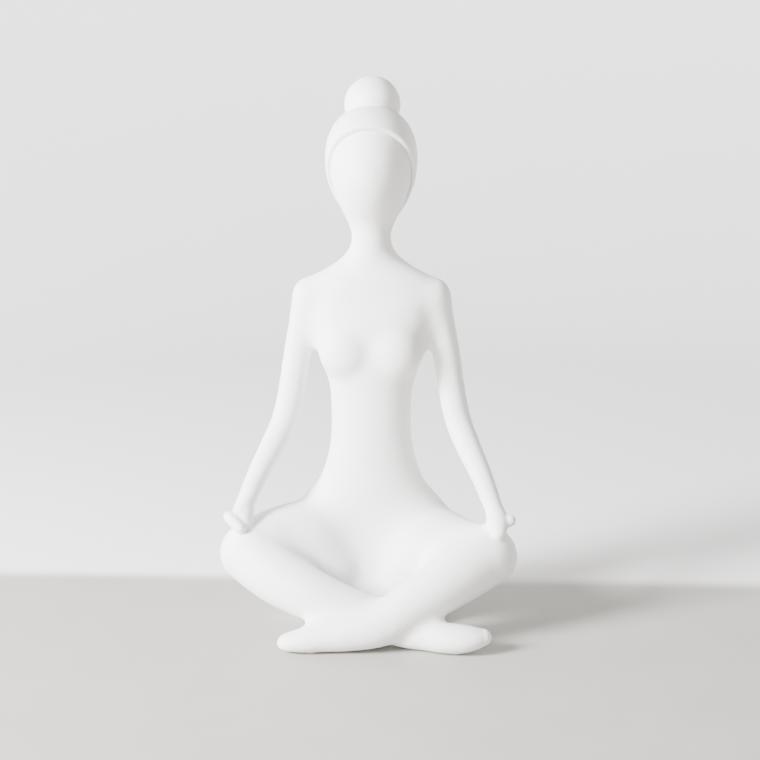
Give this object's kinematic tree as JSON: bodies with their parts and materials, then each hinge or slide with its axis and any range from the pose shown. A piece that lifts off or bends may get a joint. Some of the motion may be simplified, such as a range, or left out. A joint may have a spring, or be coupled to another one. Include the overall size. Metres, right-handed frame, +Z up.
{
  "type": "seated yoga figurine",
  "caption": "Abstract seated meditation figurine with a blank face, ball bun, crossed legs and hands on the knees, on a felt-lined flat base.",
  "frame": {"origin": "under the middle of the footprint, on the underside of the felt", "axes": "+Z up through the head, -Y the way the figure faces, +X to the figure's own left"},
  "size_m": [0.2712, 0.1853, 0.5],
  "materials": {
    "sprayed_resin": "matte",
    "steel": "satin",
    "dowel_wood": "matte",
    "felt": "matte",
    "base_sheet": "satin",
    "plug_rubber": "matte"
  },
  "bodies": {
    "root": {"torso": "sprayed_resin", "head": "sprayed_resin", "hair_cap": "sprayed_resin", "hair_bun": "sprayed_resin", "right_arm": "sprayed_resin", "left_arm": "sprayed_resin", "right_leg": "sprayed_resin", "left_leg": "sprayed_resin", "neck_pin": "steel", "bun_pin": "steel", "shin_pin": "steel", "right_arm_wire": "steel", "left_arm_wire": "steel", "right_hip_dowel_rear": "dowel_wood", "right_hip_dowel_front": "dowel_wood", "left_hip_dowel_rear": "dowel_wood", "left_hip_dowel_front": "dowel_wood", "base_felt": "felt", "right_foot_pad": "felt", "left_foot_pad": "felt", "base_plate": "base_sheet", "vent_plug": "plug_rubber"}
  },
  "joints": []
}
